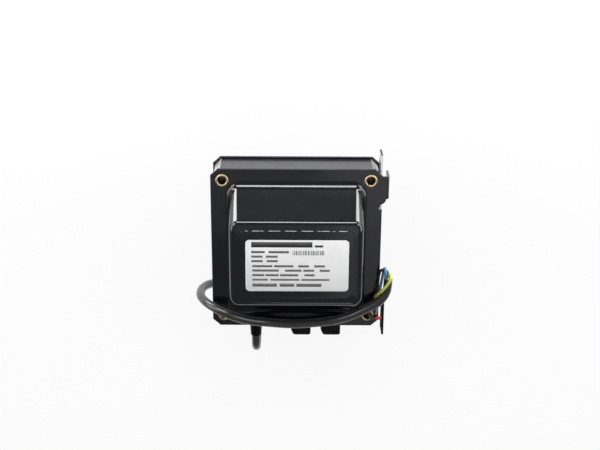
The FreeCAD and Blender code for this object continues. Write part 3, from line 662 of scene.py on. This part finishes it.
def curl(level, out):
    """Half a ring over a hole's edge, from the rim in to the bore."""
    middle = (EYELET["rim"] + EYELET["bore"]) / 2
    radius = (EYELET["rim"] - EYELET["bore"]) / 2
    points = []
    for step in range(CURL_STEPS + 1):
        angle = math.pi * step / CURL_STEPS
        points.append((middle + radius * math.cos(angle), level + out * radius * math.sin(angle)))
    return points


def make_eyelet(name, node, across, along):
    front, rear = curl(COVER["front"], 1), curl(COVER["rear"], -1)
    profile = front + rear[::-1] + [(EYELET["tube"], COVER["rear"]), (EYELET["tube"], COVER["front"])]
    bm = bmesh.new()
    lathe(bm, profile, Matrix.Translation((across * MM, along * MM, 0)))
    piece = add_object(name, finished(bm, name), "eyelet_brass", node)
    # The tube's inner wall between the rolled ends is coloured a far darker brass than its rims
    piece.data.materials.append(LOOKS["eyelet_bore"])
    for face in piece.data.polygons:
        level = face.center.z / MM
        if COVER["rear"] + EYELET["rolled"] < level < COVER["front"] - EYELET["rolled"]:
            face.material_index = 1


def make_eyelets():
    for side, across in (("left", -HOLE["x"]), ("right", HOLE["x"])):
        make_eyelet("tube_rivet_top_" + side, "eyelet_top_" + side, across, HOLE["y"])
        make_eyelet("tube_rivet_bottom_" + side, "eyelet_bottom_" + side, across, -HOLE["y"])


# Outlets and gland on the lower side; their levels run away from the label along -Y. Each place is
# across and above the floor.
OUTLET_LEFT = (3.9, 46.0)
OUTLET_RIGHT = (26.3, 46.0)
GLAND_PLACE = (-30.0, 48.0)


def lower_side(across, height):
    return Matrix.Translation((across * MM, 0, height * MM)) @ Matrix.Rotation(math.pi / 2, 4, "X")


# Each row: level, half width, half height, corner radius and shift to the right
TOWER = [
    (50.1, 7.5, 7.5, 2.4, 0.0), (59.1, 7.5, 7.5, 2.4, 0.0), (59.1, 8.5, 8.5, 2.4, 0.0),
    (59.3, 8.7, 8.7, 2.4, 0.0), (61.3, 8.7, 8.7, 2.4, 0.0), (61.6, 8.4, 8.4, 2.2, 0.0),
    (61.6, 7.8, 7.8, 2.6, 0.0), (61.9, 7.5, 7.5, 2.4, 0.0), (69.0, 7.5, 7.5, 2.4, 0.0),
    (72.2, 6.85, 7.5, 2.4, 0.64), (72.6, 6.7, 7.3, 2.3, 0.70), (72.9, 6.4, 6.9, 2.2, 0.76),
    (73.0, 6.0, 6.4, 2.1, 0.80), (73.0, 4.6, 4.6, 4.6, 0.0), (72.7, 4.25, 4.25, 4.25, 0.0),
    (59.4, 4.25, 4.25, 4.25, 0.0), (59.4, 4.0, 4.0, 4.0, 0.0), (57.4, 4.0, 4.0, 4.0, 0.0),
    (57.4, 3.8, 3.8, 3.8, 0.0), (50.1, 3.8, 3.8, 3.8, 0.0),
]


def make_tower(name, node, place):
    """A squared insulator with a collar, drawn in on the left at its mouth, and a round socket."""
    matrix = lower_side(*place)
    bm = bmesh.new()
    rings = []
    for level, half, height, corner, shift in TOWER:
        points = ring_points((half, level), (height, level), corner)
        rings.append(ring(bm, [(x + shift, y, z) for x, y, z in points], matrix))
    for first, after in zip(rings, rings[1:] + rings[:1]):
        bridge(bm, first, after)
    add_object(name, finished(bm, name), "insulator", node)


# Each row: radius and level
GLAND = [
    (0.0, 50.1), (4.9, 50.1), (4.9, 59.1), (5.9, 59.1), (6.2, 59.4), (6.2, 60.7), (5.9, 61.1), (5.2, 61.1),
    (4.9, 61.5), (4.1, 73.6), (4.15, 74.0), (4.1, 74.6), (3.8, 75.0), (0.0, 75.0),
]


def make_outlets():
    make_tower("outlet_tower_left", "hv_insulator_left", OUTLET_LEFT)
    make_tower("outlet_tower_right", "hv_insulator_right", OUTLET_RIGHT)
    bm = bmesh.new()
    lathe(bm, GLAND, lower_side(*GLAND_PLACE))
    add_object("cord_sleeve", finished(bm, "cord_sleeve"), "gland_rubber", "cable_gland")


# Label: a bare white film with plain bars where a plate like this is printed
LABEL = {"half_x": 36.2, "half_y": 19.3, "corner": 2.8, "across": 0.7, "along": -0.7, "level": 92.0}
# Each row: inset and level above the panel
FILM = [(0.0, 0.0), (0.0, 0.18), (0.05, 0.23)]
INK = {"level": 92.24, "depth": 0.02}
# Each row: middle, height, and the bars from left to right
HEADING = [(15.9, 4.0, [(-32.1, 10.5)]), (14.8, 1.6, [(12.3, 18.1)])]
PRINT = [
    (10.4, 1.7, [(-32.1, -22.7), (-20.0, -5.8)]),
    (7.0, 1.6, [(-32.1, -24.2), (-22.0, -13.6)]),
    (3.6, 1.6, [(-32.1, -24.2), (-21.2, -13.6)]),
    (-0.2, 1.6, [(-31.5, -17.4), (-16.2, -2.7), (0.8, 8.3), (11.9, 19.4)]),
    (-3.5, 1.6, [(-31.5, -12.9), (-8.5, 3.0), (4.3, 11.9), (15.9, 22.9)]),
    (-7.0, 1.6, [(-31.5, -23.1), (-22.2, -12.9), (-12.0, 0.8), (5.2, 12.3)]),
    (-10.5, 1.4, [(-31.5, -20.5), (-18.7, 1.7), (3.0, 22.9)]),
    (-14.6, 2.4, [(-31.5, -14.3), (-12.3, -1.9), (-0.5, 17.2)]),
]
STRIPES = {"start": -3.2, "end": 19.4, "middle": 9.8, "height": 3.4, "count": 19, "thin": 0.35, "more": 0.3}


def label_place(level):
    return Matrix.Translation((LABEL["across"] * MM, LABEL["along"] * MM, level * MM))


def make_film():
    bm = bmesh.new()
    rings = []
    for inset, level in FILM:
        across = (LABEL["half_x"] - inset, level)
        along = (LABEL["half_y"] - inset, level)
        rings.append(ring(bm, ring_points(across, along, LABEL["corner"]), label_place(LABEL["level"])))
    for first, after in zip(rings, rings[1:]):
        bridge(bm, first, after)
    bm.faces.new(rings[-1])
    bm.faces.new(rings[0][::-1])
    add_object("label_film", finished(bm, "label_film"), "label", "rating_label")


def add_bar(bm, low, high, middle, height):
    size = Matrix.Diagonal(((high - low) * MM, height * MM, INK["depth"] * MM, 1.0))
    spot = Matrix.Translation(((low + high) / 2 * MM, middle * MM, 0))
    bmesh.ops.create_cube(bm, size=1.0, matrix=label_place(INK["level"]) @ spot @ size)


def make_bars(name, look, rows, stripes=None):
    bm = bmesh.new()
    for middle, height, bars in rows:
        for low, high in bars:
            add_bar(bm, low, high, middle, height)
    if stripes:
        pitch = (stripes["end"] - stripes["start"]) / stripes["count"]
        for step in range(stripes["count"]):
            low = stripes["start"] + step * pitch
            width = pitch * (stripes["thin"] + stripes["more"] * (step * 7 % 5) / 4)
            add_bar(bm, low, low + width, stripes["middle"], stripes["height"])
    piece = add_object(name, finished(bm, name), "label")
    piece.data.materials[0] = LOOKS[look]


def make_label():
    make_film()
    make_bars("label_heading", "label_ink", HEADING)
    make_bars("label_rows", "label_print", PRINT, STRIPES)


# Cords: each route's points in millimetres, from the exit to the free end
SHEATH = 6.4
CORE = 2.1
CORD_ROUTE = [
    (-30.0, -75.0, 48.0), (-30.0, -79.9, 48.0), (-30.0, -84.4, 46.1), (-30.0, -87.8, 42.7),
    (-30.0, -89.7, 38.2), (-30.0, -90.0, 30.6), (-30.0, -87.2, 18.8), (-30.5, -78.6, 9.2),
    (-34.0, -66.5, 4.1), (-42.0, -55.5, 4.2), (-53.5, -48.6, 9.4), (-65.0, -45.4, 18.4),
    (-70.8, -43.4, 31.0), (-72.0, -41.8, 44.6), (-70.2, -41.0, 57.5), (-62.0, -42.4, 69.4),
    (-48.5, -47.2, 74.2), (-35.6, -53.4, 70.2), (-21.0, -57.0, 65.6), (-4.0, -58.6, 65.3),
    (14.0, -57.4, 65.3), (28.6, -55.2, 66.0), (41.4, -50.2, 67.8), (52.0, -43.6, 69.6),
    (60.8, -38.0, 70.9), (65.8, -30.6, 71.2), (66.8, -24.0, 71.2), (66.8, -19.0, 71.2),
]

BLUE_ROUTE = [
    (64.9, -19.0, 71.6), (64.9, -15.2, 71.6), (64.7, -12.2, 70.2), (64.4, -12.2, 67.0),
    (63.9, -15.4, 65.2), (62.9, -22.4, 64.2), (61.8, -31.4, 63.4), (60.6, -41.0, 63.12),
    (59.5, -49.0, 63.1),
]

EARTH_ROUTE = [
    (66.8, -19.0, 73.0), (66.8, -16.2, 73.0), (67.4, -14.2, 74.8), (68.1, -14.2, 77.2),
    (68.0, -16.8, 78.8), (65.6, -21.6, 77.8), (61.4, -28.0, 75.2), (58.2, -33.9, 69.2),
]

BROWN_ROUTE = [
    (67.0, -19.0, 69.3), (66.8, -15.0, 69.2), (64.8, -13.4, 68.5), (61.6, -13.6, 67.2),
    (60.4, -18.4, 65.2), (60.2, -25.0, 63.8), (59.6, -33.0, 63.2), (57.0, -41.0, 63.3),
    (54.4, -46.4, 64.0), (53.8, -50.8, 64.1), (55.4, -54.4, 64.1), (59.8, -53.8, 64.1),
]


def route_curve(name, route, radius):
    curve = bpy.data.curves.new(name, "CURVE")
    curve.dimensions = "3D"
    curve.bevel_depth = radius * MM
    curve.bevel_resolution = 6
    curve.use_fill_caps = True
    spline = curve.splines.new("NURBS")
    spline.points.add(len(route) - 1)
    for point, place in zip(spline.points, route):
        point.co = (*(Vector(place) * MM), 1)
    spline.order_u = 3
    spline.use_endpoint_u = True
    spline.resolution_u = 14
    spline.use_smooth = True
    return curve


def make_cord(name, node, slot, route, diameter):
    piece = add_object(name, route_curve(name, route, diameter / 2), slot, node)


def heading(route):
    """The last point of a route and the way that it points."""
    last = Vector(route[-1])
    return last, (last - Vector(route[-2])).normalized()


STRANDS = {"count": 7, "steps": 8, "radius": 0.2, "bundle": 0.5, "set_back": 0.3, "twist": 1.9}
# How far the bundle opens at its ends, and by how much every second strand is shorter
SPLAY = {"least": 0.8, "more": 0.5, "shorter": 0.1}


def strand_spots(strand, base, ahead, reach):
    """One strand's points, from inside the insulation to its tip."""
    side = ahead.orthogonal().normalized()
    spots = []
    for step in range(STRANDS["steps"] + 1):
        share = step / STRANDS["steps"]
        angle = strand * math.tau / STRANDS["count"] + share * STRANDS["twist"]
        turn = Matrix.Rotation(angle, 3, ahead)
        opened = SPLAY["least"] + SPLAY["more"] * share * share * (strand % 3) / 2
        along = reach * (1.0 - SPLAY["shorter"] * (strand % 2)) * share - STRANDS["set_back"]
        spots.append(base + ahead * along + turn @ side * (STRANDS["bundle"] * opened))
    return spots


def make_strands(name, node, route, reach):
    """Bare strands at a wire's end, twisted and slightly splayed."""
    base, ahead = heading(route)
    curve = bpy.data.curves.new(name, "CURVE")
    curve.dimensions = "3D"
    curve.bevel_depth = STRANDS["radius"] * MM
    curve.bevel_resolution = 3
    curve.use_fill_caps = True
    for strand in range(STRANDS["count"]):
        spline = curve.splines.new("POLY")
        spline.points.add(STRANDS["steps"])
        for point, spot in zip(spline.points, strand_spots(strand, base, ahead, reach)):
            point.co = (*(spot * MM), 1)
    return add_object(name, curve, "copper", node)


# Each row: radius and level along the wire
CRIMP = [
    (0.0, -0.6), (1.3, -0.6), (1.45, -0.4), (1.4, 1.4), (1.2, 2.0), (1.1, 3.5), (0.9, 3.6), (0.0, 3.6),
]
CRIMP_STEPS = 24


def make_crimp():
    """A ferrule's flared sleeve on the brown wire."""
    base, ahead = heading(BROWN_ROUTE)
    turn = ahead.to_track_quat("Z", "Y").to_matrix().to_4x4()
    bm = bmesh.new()
    lathe(bm, CRIMP, Matrix.Translation(base * MM) @ turn, CRIMP_STEPS)
    return add_object("crimp_sleeve", finished(bm, "crimp_sleeve"), "crimp_sleeve", "crimp_brown")


def make_cords():
    make_cord("supply_cord", "power_cord", "cord_jacket", CORD_ROUTE, SHEATH)
    blue = make_strands("blue_strands", "tip_blue", BLUE_ROUTE, 2.6)
    earth = make_strands("earth_strands", "tip_earth", EARTH_ROUTE, 3.2)
    make_cord("blue_wire", "wire_blue", "wire_blue", BLUE_ROUTE, CORE)
    make_cord("earth_wire", "wire_earth", "wire_earth", EARTH_ROUTE, CORE)
    crimp = make_crimp()
    make_cord("brown_wire", "wire_brown", "wire_brown", BROWN_ROUTE, CORE)


# Stage: a white floor that keeps the shadow, and soft studio lights at a plain level
FLOOR = {"half": 0.42, "paper": (0.9, 0.9, 0.9, 1), "white": (1, 1, 1, 1), "white_share": 0.88}


def white_share(nodes, links):
    """The floor's share of plain white: for camera, glossy and transmission rays only."""
    rays = nodes.new("ShaderNodeLightPath")
    share = rays.outputs["Is Camera Ray"]
    for kind in ("Is Glossy Ray", "Is Transmission Ray"):
        most = nodes.new("ShaderNodeMath")
        most.operation = "MAXIMUM"
        links.new(share, most.inputs[0])
        links.new(rays.outputs[kind], most.inputs[1])
        share = most.outputs[0]
    scale = nodes.new("ShaderNodeMath")
    scale.operation = "MULTIPLY"
    scale.inputs[1].default_value = FLOOR["white_share"]
    links.new(share, scale.inputs[0])
    return scale.outputs[0]


def floor_paper():
    material = bpy.data.materials.new("floor")
    material.use_nodes = True
    nodes, links = material.node_tree.nodes, material.node_tree.links
    nodes.clear()
    paper = nodes.new("ShaderNodeBsdfDiffuse")
    paper.inputs["Color"].default_value = FLOOR["paper"]
    white = nodes.new("ShaderNodeEmission")
    white.inputs["Color"].default_value = FLOOR["white"]
    mix = nodes.new("ShaderNodeMixShader")
    links.new(white_share(nodes, links), mix.inputs["Fac"])
    links.new(paper.outputs[0], mix.inputs[1])
    links.new(white.outputs[0], mix.inputs[2])
    output = nodes.new("ShaderNodeOutputMaterial")
    links.new(mix.outputs[0], output.inputs["Surface"])
    return material


def make_floor():
    mesh = bpy.data.meshes.new("floor")
    bm = bmesh.new()
    bmesh.ops.create_grid(bm, x_segments=1, y_segments=1, size=FLOOR["half"])
    bm.to_mesh(mesh)
    bm.free()
    floor = bpy.data.objects.new("floor", mesh)
    bpy.context.scene.collection.objects.link(floor)
    mesh.materials.append(floor_paper())


def add_light(name, place, aim, width, height, power):
    data = bpy.data.lights.new(name, "AREA")
    data.shape = "RECTANGLE"
    data.size = width
    data.size_y = height
    data.energy = power
    light = bpy.data.objects.new(name, data)
    bpy.context.scene.collection.objects.link(light)
    light.location = place
    direction = Vector(aim) - Vector(place)
    light.rotation_euler = direction.to_track_quat("-Z", "Y").to_euler()


WORLD = {"horizon": 0.04, "below": (0.2, 0.21, 0.23, 1), "above": (0.13, 0.131, 0.137, 1)}


def make_world():
    """Dim grey above, paler below the horizon as a studio's floor is."""
    world = bpy.data.worlds.new("studio")
    world.use_nodes = True
    nodes, links = world.node_tree.nodes, world.node_tree.links
    direction = nodes.new("ShaderNodeTexCoord")
    split = nodes.new("ShaderNodeSeparateXYZ")
    links.new(direction.outputs["Generated"], split.inputs[0])
    rise = nodes.new("ShaderNodeMapRange")
    rise.inputs["From Min"].default_value = -WORLD["horizon"]
    rise.inputs["From Max"].default_value = WORLD["horizon"]
    links.new(split.outputs["Z"], rise.inputs["Value"])
    shade = nodes.new("ShaderNodeValToRGB")
    shade.color_ramp.elements[0].color = WORLD["below"]
    shade.color_ramp.elements[1].color = WORLD["above"]
    links.new(rise.outputs["Result"], shade.inputs["Fac"])
    links.new(shade.outputs["Color"], nodes["Background"].inputs["Color"])
    bpy.context.scene.world = world


MIDDLE = (0, 0, 0.05)
# Each row: name, place, what it faces, width, height and power
LAMPS = [
    ("top_strip", (0, 1.25, 0.95), MIDDLE, 1.3, 0.36, 13),
    ("upper_left", (-0.95, 0.6, 1.25), MIDDLE, 0.45, 0.4, 2.6),
    ("upper_right", (0.95, 0.6, 1.25), MIDDLE, 0.45, 0.4, 2.2),
    ("left_box", (-1.2, 0.25, 0.6), MIDDLE, 1.3, 0.75, 7.5),
    ("right_box", (1.2, 0.25, 0.6), MIDDLE, 1.3, 0.75, 8.5),
    ("left_card", (-0.20, 0.225, 0.035), MIDDLE, 0.2, 0.07, 0.42),
    ("right_card", (0.20, 0.225, 0.035), MIDDLE, 0.2, 0.07, 0.32),
    ("overhead_wide", (0.0, -0.18, 1.5), (0.0, -0.18, 0.0), 1.0, 0.7, 0.3),
    ("overhead_right", (0.32, -0.4, 1.48), (0.32, -0.4, 0.0), 0.5, 0.9, 0.34),
    ("front_strip", (0.05, -1.2, 0.85), MIDDLE, 0.2, 0.12, 0.3),
]


def make_lights():
    for lamp in LAMPS:
        add_light(*lamp)


make_camera()
dress_nodes()
make_covers()
make_eyelets()
make_outlets()
make_label()
make_cords()
make_floor()
make_world()
make_lights()
bpy.context.scene.view_settings.view_transform = "Standard"
